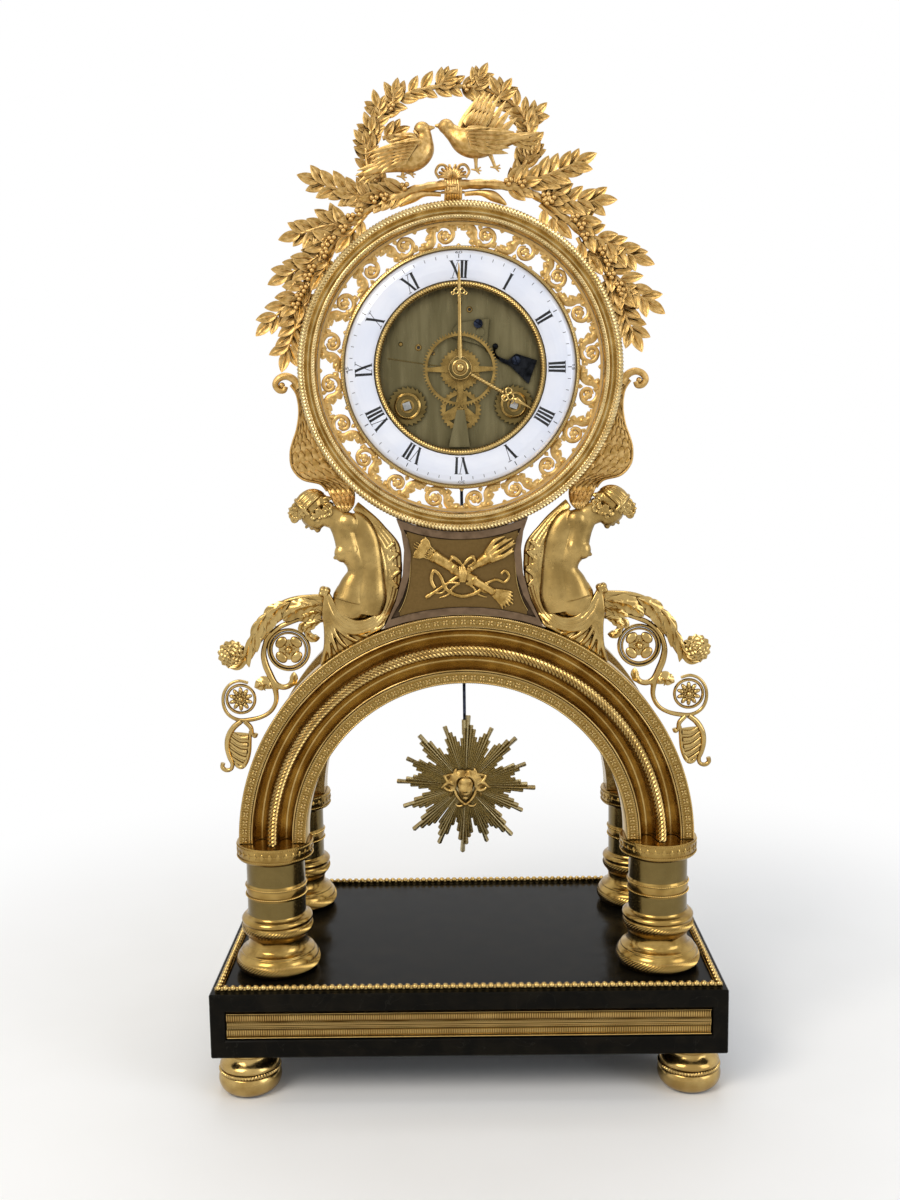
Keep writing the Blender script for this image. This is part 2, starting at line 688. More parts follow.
def fretted_dial_plate():
    """The openwork ring round the dial, with the feet that reach back to the movement."""
    outer = BEZEL_INNER - SEAT_GAP
    inner = ENAMEL_BORE + 2 * INNER_RING_WIDTH
    window_circle = (ENAMEL_RADIUS + outer) / 2 + SEAT_GAP
    outlines = [circle(outer, 40), circle(inner, 24)]
    for repeat in range(FRET_REPEATS):
        middle = around((0.0, 0.0), window_circle, 360 * (repeat + 0.5) / FRET_REPEATS)
        outlines.append(circle(FRET_WINDOW_RADIUS, 7, middle, 18 * repeat))
    plate = flat("fret", outlines, FRET_THICKNESS, FRET_BACK_DEPTH)
    facing(plate, z=DIAL_HEIGHT, depth=FRET_BACK_DEPTH + FRET_THICKNESS / 2)
    feet_of_plate = []
    for turn in (60, 180, 300):
        x, y = around((0.0, 0.0), DIAL_FOOT_CIRCLE, turn)
        post = rod("dial_foot", DIAL_FOOT_RADIUS, PLATE_FRONT + SEAT_GAP,
                   FRET_FRONT_DEPTH - FRET_THICKNESS / 2, x, y, 8)
        feet_of_plate.append(facing(post, z=DIAL_HEIGHT))
    return finish(joined(plate, feet_of_plate), "fretted_dial_plate", MATTE_GILT)


def enamel_dial():
    inner = ENAMEL_BORE
    width = ENAMEL_RADIUS - ENAMEL_BORE
    low = ENAMEL_DEPTH
    section_shares = ((0.0, 0.62), (0.35, 0.97), (0.70, 0.86), (1.0, 0.0))
    top = [(inner + share * width, low + ENAMEL_THICKNESS + height * ENAMEL_CROWN)
           for share, height in section_shares]
    dial = turned("enamel", [*top, (ENAMEL_RADIUS, low), (inner, low)], 36, closed=True)
    facing(dial, z=DIAL_HEIGHT)
    return finish(dial, "enamel_dial", WHITE_ENAMEL)


def dial_inner_ring():
    outer = INNER_RING_RADIUS
    inner = INNER_RING_RADIUS - INNER_RING_WIDTH
    middle = (outer + inner) / 2
    low = FRET_BACK_DEPTH
    top = low + INNER_RING_HEIGHT
    shoulder = top - INNER_RING_WIDTH / 2
    profile = [(inner, shoulder), (middle, top), (outer, shoulder), (outer, low), (inner, low)]
    ring = turned("inner_ring", profile, 32, closed=True)
    facing(ring, z=DIAL_HEIGHT)
    return finish(ring, "dial_inner_ring", MATTE_GILT)


# Wheels
def tooth_outline(teeth, pitch_radius, rise, fall, start):
    """Pointed teeth: one tip and one root for each, counted from the clock angle start."""
    outline = []
    for tooth in range(teeth):
        outline.append(around((0.0, 0.0), pitch_radius + rise, start + 360 * tooth / teeth))
        outline.append(around((0.0, 0.0), pitch_radius - fall, start + 360 * (tooth + 0.5) / teeth))
    return outline


def crossings(hub, rim, count, start):
    """The openings between the arms of a wheel."""
    arm = 0.30 * 360 / count
    windows = []
    for window in range(count):
        first = start + 360 * window / count + arm / 2
        last = start + 360 * (window + 1) / count - arm / 2
        turns = (first, (2 * first + last) / 3, (first + 2 * last) / 3, last)
        outer = [around((0.0, 0.0), rim, turn) for turn in turns]
        windows.append([*outer, around((0.0, 0.0), hub, (first + last) / 2)])
    return windows


WHEEL_RISE_SHARE = 0.72
WHEEL_FALL_SHARE = 1.0
PINION_RISE_SHARE = 0.55
PINION_FALL_SHARE = 1.05


def wheel(teeth, module, depth, start, hub=None, arms=4):
    pitch = module * teeth / 2
    rise = WHEEL_RISE_SHARE * module
    outlines = [tooth_outline(teeth, pitch, rise, WHEEL_FALL_SHARE * module, start)]
    if hub:
        outlines += crossings(hub, pitch - 3.4 * module, arms, start)
    return flat("wheel", outlines, WHEEL_THICKNESS, depth)


def pinion(leaves, module, depth, start, length=PINION_LENGTH):
    pitch = module * leaves / 2
    rise = PINION_RISE_SHARE * module
    outline = tooth_outline(leaves, pitch, rise, PINION_FALL_SHARE * module, start)
    return flat("pinion", [outline], length, depth)


def stand_up(parts, x, z):
    """Stands the parts of one arbor up about its axis, keeping each one's depth."""
    for part in parts:
        depth = part.location.z
        part.rotation_euler = (math.pi / 2, 0.0, 0.0)
        part.location = (x, -depth, z)
    return parts


def arbor(name, parts, x, z, material):
    """One arbor with its wheel and pinion as one solid, its origin on its axis."""
    axis = rod("arbor_axis", ARBOR_RADIUS, 0.0, ARBOR_RADIUS)
    stand_up([axis, *parts], x, z)
    bpy.data.objects.remove(axis, do_unlink=True)
    piece = joined(parts[0], parts[1:])
    shift = piece.matrix_world.inverted() @ Vector((x, 0.0, z))
    piece.data.transform(Matrix.Translation(-shift))
    piece.location = (x, 0.0, z)
    return finish(piece, name, material)


def mesh_start(teeth, direction):
    """The clock angle that puts a gap of this wheel on the line towards its neighbour."""
    return direction + 180 / teeth


def going_barrel_place():
    return BARREL_REACH_X, DIAL_HEIGHT - BARREL_DROP


def strike_barrel_place():
    return -BARREL_REACH_X, DIAL_HEIGHT - BARREL_DROP


def third_place():
    """Where the third arbor is at its distance from both the centre and the escape arbor."""
    rise = (CENTRE_DISTANCE**2 - ESCAPE_DISTANCE**2 + ESCAPE_RISE**2) / (2 * ESCAPE_RISE)
    return math.sqrt(CENTRE_DISTANCE**2 - rise**2), DIAL_HEIGHT + rise


def escape_place():
    return 0.0, DIAL_HEIGHT + ESCAPE_RISE


def pin_wheel_place():
    lean = math.radians(-5.4)
    x, z = strike_barrel_place()
    return x + STRIKE_DISTANCE * math.sin(lean), z + STRIKE_DISTANCE * math.cos(lean)


def hammer_place():
    return BELL_OFFSET_X - 0.46 * BELL_RADIUS, DIAL_HEIGHT + BELL_OFFSET_Z + 1.15 * BELL_RADIUS


def minute_place():
    return 0.0, DIAL_HEIGHT - MOTION_DISTANCE


def clock_angle(start, end):
    return math.degrees(math.atan2(end[0] - start[0], end[1] - start[1]))


def motion_work():
    centre = (0.0, DIAL_HEIGHT)
    cannon = wheel(CANNON_TEETH, MOTION_MODULE, CANNON_WHEEL_DEPTH, 180.0)
    bore = CENTRE_ARBOR_RADIUS + RUNNING_GAP
    top = MINUTE_HAND_DEPTH + HAND_THICKNESS
    pipe = rod("pipe", CANNON_PIPE_RADIUS, CANNON_WHEEL_DEPTH - SEAT_GAP, top)
    cannon_wheel = arbor("cannon_wheel", [cannon, pipe], *centre, WHEEL_BRASS)
    cannon_wheel = bore_out(cannon_wheel, bore, CANNON_WHEEL_DEPTH, top, *centre)
    finish(cannon_wheel, "cannon_wheel", WHEEL_BRASS)

    minute = wheel(MINUTE_TEETH, MOTION_MODULE, CANNON_WHEEL_DEPTH, mesh_start(MINUTE_TEETH, 0.0),
                   MINUTE_HUB, 3)
    leaves_depth = CANNON_WHEEL_DEPTH + WHEEL_THICKNESS - OVERLAP
    leaves_length = HOUR_WHEEL_DEPTH + WHEEL_THICKNESS + RUNNING_GAP - leaves_depth
    leaves = pinion(MINUTE_PINION_LEAVES, HOUR_MODULE, leaves_depth, 0.0, leaves_length)
    stud = rod("stud", 0.7 * ARBOR_RADIUS, PLATE_FRONT + SEAT_GAP,
               leaves_depth + leaves_length + OVERLAP)
    arbor("minute_wheel", [minute, leaves, stud], *minute_place(), WHEEL_BRASS)

    hour = wheel(HOUR_TEETH, HOUR_MODULE, HOUR_WHEEL_DEPTH, mesh_start(HOUR_TEETH, 180.0), HOUR_HUB)
    hour_top = HOUR_HAND_DEPTH + HAND_THICKNESS
    hour_pipe = rod("pipe", HOUR_PIPE_RADIUS, HOUR_WHEEL_DEPTH - SEAT_GAP, hour_top, sides=12)
    hour_wheel = arbor("hour_wheel", [hour, hour_pipe], *centre, WHEEL_BRASS)
    hour_bore = CANNON_PIPE_RADIUS + RUNNING_GAP
    hour_wheel = bore_out(hour_wheel, hour_bore, HOUR_WHEEL_DEPTH, hour_top, *centre, 12)
    finish(hour_wheel, "hour_wheel", WHEEL_BRASS)


def bore_out(piece, radius, low, high, x, z, sides=PIVOT_SIDES):
    """Bores the piece through along its forward axis."""
    drill = rod("drill", radius / math.cos(math.pi / sides), low - CUT_OVERRUN, high + CUT_OVERRUN,
                sides=sides)
    facing(drill, x, z)
    return cut(piece, [drill])


def going_train():
    centre = (0.0, DIAL_HEIGHT)
    third = third_place()
    escape = escape_place()
    barrel = going_barrel_place()
    to_third = clock_angle(centre, third)
    to_escape = clock_angle(third, escape)
    to_centre = clock_angle(barrel, centre)

    great = wheel(GREAT_TEETH, GREAT_MODULE, GOING_GREAT_DEPTH, to_centre)
    drum_low = GOING_GREAT_DEPTH + WHEEL_THICKNESS - OVERLAP
    drum = rod("drum", DRUM_RADIUS, drum_low, drum_low + DRUM_LENGTH, sides=24)
    going = arbor("going_barrel", [drum, great], *barrel, PLATE_BRASS)
    going = bore_out(going, BARREL_ARBOR_RADIUS + RUNNING_GAP, GOING_GREAT_DEPTH,
                     drum_low + DRUM_LENGTH, *barrel)
    finish(going, "going_barrel", PLATE_BRASS)

    leaves = pinion(CENTRE_PINION_LEAVES, GREAT_MODULE, GOING_GREAT_DEPTH - OVERLAP,
                    mesh_start(CENTRE_PINION_LEAVES, to_centre + 180))
    train = wheel(CENTRE_TEETH, CENTRE_MODULE, CENTRE_WHEEL_DEPTH, to_third, CENTRE_HUB)
    pin = rod("arbor", CENTRE_ARBOR_RADIUS, ARBOR_BACK, MINUTE_HAND_DEPTH - HAND_THICKNESS)
    arbor("centre_wheel", [pin, train, leaves], *centre, WHEEL_BRASS)

    leaves = pinion(THIRD_PINION_LEAVES, CENTRE_MODULE, CENTRE_WHEEL_DEPTH - OVERLAP,
                    mesh_start(THIRD_PINION_LEAVES, to_third + 180))
    train = wheel(THIRD_TEETH, THIRD_MODULE, THIRD_WHEEL_DEPTH, to_escape, THIRD_HUB)
    pin = rod("arbor", ARBOR_RADIUS, ARBOR_BACK, ARBOR_FRONT)
    arbor("third_wheel", [pin, train, leaves], *third, WHEEL_BRASS)

    leaves = pinion(ESCAPE_PINION_LEAVES, THIRD_MODULE, THIRD_WHEEL_DEPTH - OVERLAP,
                    mesh_start(ESCAPE_PINION_LEAVES, to_escape + 180))
    tooth = 0.14 * ESCAPE_RADIUS
    outlines = [tooth_outline(ESCAPE_TEETH, ESCAPE_RADIUS - tooth, tooth, 0.2 * tooth, 6.0)]
    outlines += crossings(ESCAPE_HUB, 0.66 * ESCAPE_RADIUS, 3, 0.0)
    saw = flat("escape", outlines, WHEEL_THICKNESS, ESCAPE_WHEEL_DEPTH)
    pin = rod("arbor", ARBOR_RADIUS, ARBOR_BACK, ARBOR_FRONT)
    arbor("escape_wheel", [pin, saw, leaves], *escape, WHEEL_BRASS)


def strike_train():
    barrel = strike_barrel_place()
    fly = pin_wheel_place()
    to_pin_wheel = clock_angle(barrel, fly)
    great = wheel(GREAT_TEETH, GREAT_MODULE, STRIKE_GREAT_DEPTH, to_pin_wheel)
    drum_low = STRIKE_GREAT_DEPTH + OVERLAP - DRUM_LENGTH
    drum = rod("drum", DRUM_RADIUS, drum_low, drum_low + DRUM_LENGTH, sides=24)
    strike = arbor("strike_barrel", [drum, great], *barrel, PLATE_BRASS)
    strike = bore_out(strike, BARREL_ARBOR_RADIUS + RUNNING_GAP, drum_low,
                      STRIKE_GREAT_DEPTH + WHEEL_THICKNESS, *barrel)
    finish(strike, "strike_barrel", PLATE_BRASS)

    leaves = pinion(STRIKE_PINION_LEAVES, GREAT_MODULE, STRIKE_GREAT_DEPTH - OVERLAP,
                    mesh_start(STRIKE_PINION_LEAVES, to_pin_wheel + 180), 0.7 * PINION_LENGTH)
    disc = rod("disc", PIN_WHEEL_RADIUS, PIN_WHEEL_DEPTH, PIN_WHEEL_DEPTH + WHEEL_THICKNESS, sides=20)
    pins = []
    for number in range(PIN_COUNT):
        x, y = around((0.0, 0.0), 0.82 * PIN_WHEEL_RADIUS, 360 * number / PIN_COUNT)
        pins.append(rod("pin", PIN_RADIUS, PIN_WHEEL_DEPTH - PIN_LENGTH,
                        PIN_WHEEL_DEPTH + OVERLAP, x, y, 5))
    pin = rod("arbor", ARBOR_RADIUS, ARBOR_BACK, ARBOR_FRONT)
    arbor("pin_wheel", [pin, disc, leaves, *pins], *fly, WHEEL_BRASS)


def winding():
    """The barrel arbors with their ratchets and squares, and the click of each."""
    for name, (x, z), side in (("going", going_barrel_place(), 1),
                               ("strike", strike_barrel_place(), -1)):
        pin = rod("arbor", BARREL_ARBOR_RADIUS, ARBOR_BACK, RATCHET_DEPTH + OVERLAP)
        tooth = 0.14 * RATCHET_RADIUS
        outline = []
        for number in range(RATCHET_TEETH):
            step = 360 / RATCHET_TEETH
            outline.append(around((0.0, 0.0), RATCHET_RADIUS, side * step * number))
            outline.append(around((0.0, 0.0), RATCHET_RADIUS - tooth, side * step * (number + 0.12)))
        saw = flat("ratchet", [outline], WHEEL_THICKNESS, RATCHET_DEPTH)
        cap = rod("cap", 0.66 * RATCHET_RADIUS, RATCHET_DEPTH + OVERLAP,
                  RATCHET_DEPTH + 2 * WHEEL_THICKNESS, sides=14)
        square = rod("square", 0.8 * BARREL_ARBOR_RADIUS, RATCHET_DEPTH + OVERLAP,
                     RATCHET_DEPTH + 5 * WHEEL_THICKNESS, sides=4)
        arbor(name + "_arbor", [pin, saw, cap, square], x, z, PLATE_BRASS)

        nose = RATCHET_RADIUS - 0.5 * tooth
        hinge = 1.55 * RATCHET_RADIUS
        turn = side * 122
        nose_turn = side * 96
        hub = around((0.0, 0.0), hinge, turn)
        tip = around((0.0, 0.0), nose, nose_turn)
        reach = Vector((tip[0] - hub[0], tip[1] - hub[1]))
        across = Vector((-reach.y, reach.x)).normalized() * 0.11 * RATCHET_RADIUS
        tail = Vector((0.0, 0.0)) - 0.35 * reach
        blade = [(across.x, across.y), (reach.x, reach.y), (-across.x, -across.y), (tail.x, tail.y)]
        lever = flat("click", [blade], WHEEL_THICKNESS, RATCHET_DEPTH)
        hub_disc = rod("hub", 0.2 * RATCHET_RADIUS, PLATE_FRONT + SEAT_GAP,
                       RATCHET_DEPTH + 1.6 * WHEEL_THICKNESS, sides=8)
        arbor(name + "_click", [hub_disc, lever], x + hub[0], z + hub[1], BLUED_STEEL)


# Hands
def hand(name, length, depth, bore, clock_turn):
    """A slim bar with two ring scrolls and a dart before its tip, drawn straight up."""
    ring = HAND_SCROLL_RADIUS
    knot = 0.72 * length
    half = HAND_BAR / 2
    outline = [(-half, 0.0), (-half, length - 2 * ring), (0.0, length), (half, length - 2 * ring),
               (half, 0.0)]
    bar = flat("bar", [outline], HAND_THICKNESS, depth)
    boss = rod("boss", HAND_BOSS_RADIUS, depth, depth + HAND_THICKNESS + OVERLAP / 2, sides=16)
    parts = [boss, bar]
    for side in (-1, 1):
        outline = circle(ring, 8, (side * ring, knot))
        eye = circle(0.5 * ring, 6, (side * ring, knot))
        parts.append(flat("scroll", [outline, eye], 0.9 * HAND_THICKNESS, depth + 0.05 * HAND_THICKNESS))
    if not bore:
        cap_radius = 0.74 * HAND_BOSS_RADIUS
        cap_radii = (cap_radius, cap_radius, cap_radius / 2)
        parts.append(ball("cap", (0.0, 0.0, depth + HAND_THICKNESS), cap_radii, 10, 4))
    piece = arbor(name, parts, 0.0, DIAL_HEIGHT, MATTE_GILT)
    piece.rotation_euler = (math.pi / 2, math.radians(clock_turn), 0.0)
    if bore:
        drill_top = depth + HAND_THICKNESS
        piece = bore_out(piece, bore, depth, drill_top, 0.0, DIAL_HEIGHT, 12)
    else:
        socket = rod("socket", CANNON_PIPE_RADIUS + 1.5 * SEAT_GAP, CANNON_WHEEL_DEPTH,
                     depth + HAND_THICKNESS + SEAT_GAP, sides=12)
        piece = cut(piece, [facing(socket, z=DIAL_HEIGHT)])
    return finish(piece, name, MATTE_GILT)


def hands():
    hand("minute_hand", MINUTE_HAND_LENGTH, MINUTE_HAND_DEPTH, 0.0, 0.0)
    hand("hour_hand", HOUR_HAND_LENGTH, HOUR_HAND_DEPTH, HOUR_PIPE_RADIUS + SEAT_GAP, 120.0)


# Plates and cocks
def train_holes():
    """Where each arbor passes through the plates, with its radius."""
    return [((0.0, DIAL_HEIGHT), CENTRE_ARBOR_RADIUS), (going_barrel_place(), BARREL_ARBOR_RADIUS),
            (strike_barrel_place(), BARREL_ARBOR_RADIUS), (third_place(), ARBOR_RADIUS),
            (escape_place(), ARBOR_RADIUS), (pin_wheel_place(), ARBOR_RADIUS),
            (hammer_place(), ARBOR_RADIUS)]


def front_plate():
    places = [*train_holes(), ((0.0, PIVOT_HEIGHT), ARBOR_RADIUS)]
    outlines = [circle(PLATE_RADIUS, 32)]
    for (x, z), radius in places:
        outlines.append(hole(radius + RUNNING_GAP, PIVOT_SIDES, (x, z - DIAL_HEIGHT)))
    plate = flat("front_plate", outlines, PLATE_THICKNESS, FRONT_PLATE_DEPTH)
    facing(plate, z=DIAL_HEIGHT, depth=FRONT_PLATE_DEPTH + PLATE_THICKNESS / 2)
    return finish(plate, "front_plate", PLATE_BRASS)


def rear_plate():
    """The rear plate with its riveted pillars and the post that carries the bell."""
    places = [*train_holes(), ((0.0, PIVOT_HEIGHT), 2 * ARBOR_RADIUS)]
    outlines = [circle(PLATE_RADIUS, 32)]
    for (x, z), radius in places:
        outlines.append(hole(radius + RUNNING_GAP, PIVOT_SIDES, (x, z - DIAL_HEIGHT)))
    plate = flat("rear_plate", outlines, PLATE_THICKNESS, REAR_PLATE_DEPTH)
    parts = []
    for turn in (-74, 74, -23, 23, 180):
        x, y = around((0.0, 0.0), PILLAR_CIRCLE, turn)
        parts.append(rod("pillar", PILLAR_RADIUS, REAR_PLATE_FRONT - OVERLAP,
                         FRONT_PLATE_DEPTH - SEAT_GAP, x, y, 8))
    crown = BELL_RIM_DEPTH - BELL_HEIGHT
    post = (BELL_OFFSET_X, BELL_OFFSET_Z)
    parts.append(rod("post", 0.9 * PILLAR_RADIUS, crown + BELL_WALL + 2 * SEAT_GAP,
                     REAR_PLATE_DEPTH + OVERLAP, *post, 6))
    parts.append(rod("spigot", ARBOR_RADIUS, crown - BELL_WALL,
                     crown + BELL_WALL + 3 * SEAT_GAP, *post, 8))
    parts.append(rod("nut", 0.9 * PILLAR_RADIUS, crown - 2.5 * BELL_WALL, crown - SEAT_GAP,
                     *post, 6))
    stand_up([plate, *parts], 0.0, DIAL_HEIGHT)
    return finish(joined(plate, parts), "rear_plate", PLATE_BRASS)


def cocks():
    """The lower cock carries the minute wheel, and the upper one the escape wheel's front pivot."""
    x, z = minute_place()
    top = HOUR_WHEEL_DEPTH + WHEEL_THICKNESS + 2 * RUNNING_GAP + OVERLAP
    size = LOWER_COCK_LENGTH
    bridge_shares = ((-0.105, 0.0), (0.105, 0.0), (0.24, -1.0), (-0.34, -1.0))
    foot_shares = ((-0.27, -0.74), (0.19, -0.74), (0.24, -1.0), (-0.34, -1.0))
    bridge = flat("bridge", [scaled_points(bridge_shares, size)], WHEEL_THICKNESS, top + SEAT_GAP)
    foot_height = top + 2 * SEAT_GAP - PLATE_FRONT + OVERLAP
    foot = flat("foot", [scaled_points(foot_shares, size)], foot_height, PLATE_FRONT + SEAT_GAP)
    stand_up([bridge, foot], x, z)
    finish(joined(bridge, [foot]), "lower_cock", PLATE_BRASS)

    size = UPPER_COCK_LENGTH
    outline_shares = ((-0.05, 0.36), (0.95, 0.48), (0.86, -0.46), (0.52, -0.30), (-0.22, -0.10),
                      (-0.22, 0.16))
    screw_share = (0.66, 0.06)
    x, z = escape_place()
    plate = flat("plate", [scaled_points(outline_shares, size)], WHEEL_THICKNESS,
                 PLATE_FRONT + SEAT_GAP)
    screw = rod("screw", 0.14 * size, PLATE_FRONT + 2 * SEAT_GAP, PLATE_FRONT + 1.7 * WHEEL_THICKNESS,
                screw_share[0] * size, screw_share[1] * size, 10)
    stand_up([plate, screw], x, z)
    finish(joined(plate, [screw]), "upper_cock", PLATE_BRASS)


def strike_lever():
    """The curled steel lever that lets off the strike, on its own screw."""
    x, z = STRIKE_LEVER_X, DIAL_HEIGHT + STRIKE_LEVER_RISE
    size = STRIKE_LEVER_SIZE
    body_shares = ((-0.62, 0.14), (-0.30, 0.02), (0.0, 0.26), (0.30, 0.16), (0.78, 0.0),
                   (0.62, -0.42), (0.46, -0.86), (0.10, -0.50), (-0.22, -0.18), (-0.58, -0.02))
    body = flat("body", [scaled_points(body_shares, size)], WHEEL_THICKNESS, RATCHET_DEPTH)
    middle = RATCHET_DEPTH + WHEEL_THICKNESS / 2
    curl_shares = ((-0.52, 0.05), (-0.72, 0.16), (-0.82, 0.34), (-0.76, 0.50))
    curl = tube("curl", [(*point, middle) for point in scaled_points(curl_shares, size)],
                [0.045 * size, 0.05 * size, 0.05 * size, 0.05 * size], 0)
    knob_radii = (0.11 * size, 0.11 * size, 0.052 * size)
    knob = ball("knob", (-0.76 * size, 0.54 * size, middle), knob_radii, 8, 4)
    screw = rod("screw", 0.14 * size, PLATE_FRONT + SEAT_GAP,
                RATCHET_DEPTH + 1.5 * WHEEL_THICKNESS, sides=8)
    arbor("strike_lever", [body, screw, curl, knob], x, z, BLUED_STEEL)


# Escapement, pendulum and bell
def anchor():
    """The pallets on their arbor, with the crutch that embraces the pendulum rod."""
    drop = ANCHOR_RISE - ESCAPE_RISE
    reach = 0.78 * ANCHOR_SPAN
    seat = 0.80 * (ESCAPE_RADIUS + 2 * SEAT_GAP) - drop
    half = ANCHOR_WAIST / 2
    arm_shares = ((0.0, 0.6), (0.5, 0.0), (-0.25, 0.3))
    (top_x, top_z), (tip_x, tip_z), (heel_x, heel_z) = scaled_points(arm_shares, PALLET_WIDTH, (reach, seat))
    right = [(half, half), (top_x, top_z), (tip_x, tip_z - 0.8 * PALLET_WIDTH),
             (heel_x, heel_z - PALLET_WIDTH / 2), (half, -half)]
    outline = right + mirrored(right)
    pallets = flat("pallets", [outline], WHEEL_THICKNESS, ESCAPE_WHEEL_DEPTH)
    pin = rod("arbor", ARBOR_RADIUS, COCK_DEPTH + SEAT_GAP, ARBOR_FRONT)
    crutch_depth = REAR_PLATE_DEPTH - WHEEL_THICKNESS - 2 * SEAT_GAP
    half = 1.3 * ARBOR_RADIUS
    arm_outline = [(-half, 0.0), (half, 0.0), (half, -CRUTCH_LENGTH), (-half, -CRUTCH_LENGTH)]
    arm = flat("arm", [arm_outline], WHEEL_THICKNESS, crutch_depth)
    fork_gap = ROD_RADIUS + RUNNING_GAP
    fork_back = SWING_DEPTH - 2 * ROD_RADIUS
    cross = box("cross", (2 * fork_gap + 4 * ROD_RADIUS, 2 * half, WHEEL_THICKNESS),
                (0.0, -CRUTCH_LENGTH + half, crutch_depth + WHEEL_THICKNESS / 2 - OVERLAP / 2))
    prong_size = (2 * ROD_RADIUS, 1.6 * half, crutch_depth + OVERLAP - fork_back)
    prong_middle = (crutch_depth + OVERLAP + fork_back) / 2
    prongs = [box("prong", prong_size, (side * (fork_gap + ROD_RADIUS), -CRUTCH_LENGTH + half,
                                        prong_middle))
              for side in (-1, 1)]
    arbor_parts = [pin, pallets, arm]
    for part in (cross, *prongs):
        facing(part, z=PIVOT_HEIGHT)
    piece = arbor("anchor_crutch", arbor_parts, 0.0, PIVOT_HEIGHT, BLUED_STEEL)
    return finish(joined(piece, [cross, *prongs]), "anchor_crutch", BLUED_STEEL)


def back_cock():
    """A bridge behind the rear plate with the stud that the pendulum hangs from."""
    half = COCK_HALF
    leg = COCK_LEG / 2
    height = COCK_HEIGHT
    thickness = WHEEL_THICKNESS
    bridge = box("bridge", (2 * half, height, thickness), (0.0, 0.0, COCK_DEPTH - thickness / 2))
    legs = [box("leg", (2 * leg, 0.9 * height, REAR_PLATE_DEPTH - SEAT_GAP - COCK_DEPTH + OVERLAP),
                (side * (half - leg), 0.0, (REAR_PLATE_DEPTH - SEAT_GAP + COCK_DEPTH - OVERLAP) / 2))
            for side in (-1, 1)]
    stud_back = SWING_DEPTH - leg
    stud = box("stud", (2 * leg, height, COCK_DEPTH - stud_back),
               (0.0, SEAT_GAP + height / 2, (COCK_DEPTH - OVERLAP + stud_back) / 2))
    for part in (bridge, *legs, stud):
        facing(part, z=PIVOT_HEIGHT)
    return finish(joined(bridge, [*legs, stud]), "back_cock", PLATE_BRASS)


def sun_outline():
    """Sixteen clusters of rays, a long one between two pairs of shorter ones."""
    points = []
    step = 360 / BOB_RAYS
    ray_shares = ((-0.44, 0.40), (-0.26, 0.72), (-0.10, 0.78), (0.0, 1.0), (0.10, 0.78), (0.26, 0.70))
    for ray in range(BOB_RAYS):
        for turn, reach in ray_shares:
            points.append(around((0.0, 0.0), reach * BOB_RADIUS, step * (ray + turn)))
    return points


def pendulum():
    spring_width = SPRING_WIDTH
    spring_length = SPRING_LENGTH
    rod_piece = rod("rod", ROD_RADIUS, -PENDULUM_LENGTH + BOB_THICKNESS, -spring_length, sides=8)
    spring = box("spring", (spring_width, ROD_RADIUS, spring_length),
                 (0.0, 0.0, -spring_length / 2 - SEAT_GAP))
    for part in (rod_piece, spring):
        part.location = (0.0, -SWING_DEPTH, PIVOT_HEIGHT)
    hook = box("hook", (1.2 * spring_width, 2 * ROD_RADIUS, spring_width), (0.0, 0.0, -spring_length))
    hook.location = (0.0, -SWING_DEPTH, PIVOT_HEIGHT)
    piece = joined(rod_piece, [spring, hook])
    seat = SWING_DEPTH + ROD_RADIUS + SEAT_GAP
    finish(piece, "pendulum_rod", BLUED_STEEL)

    disc = flat("sun", [sun_outline()], BOB_THICKNESS, seat)
    mask = ball("mask", (0.0, 0.0, seat + BOB_THICKNESS),
                (0.85 * MASK_RADIUS, MASK_RADIUS, 0.5 * MASK_RADIUS), 12, 8)
    hair = ball("hair", (0.0, 0.3 * MASK_RADIUS, seat + BOB_THICKNESS),
                (1.2 * MASK_RADIUS, 0.95 * MASK_RADIUS, 0.28 * MASK_RADIUS), 10, 6)
    stand_up([disc], 0.0, PIVOT_HEIGHT - PENDULUM_LENGTH)
    for part in (mask, hair):
        facing(part, z=PIVOT_HEIGHT - PENDULUM_LENGTH)
    back = box("back", (BOB_RADIUS, BOB_RADIUS, BOB_RADIUS),
               (0.0, -seat + BOB_RADIUS / 2, PIVOT_HEIGHT - PENDULUM_LENGTH))
    bob = cut(joined(disc, [mask, hair]), [back])
    height = PIVOT_HEIGHT
    move = bob.matrix_world.inverted() @ Vector((0.0, -SWING_DEPTH, height))
    bob.data.transform(Matrix.Translation(-move))
    bob.location = (0.0, -SWING_DEPTH, height)
    return finish(bob, "sunburst_bob", OLIVE_BRONZE)


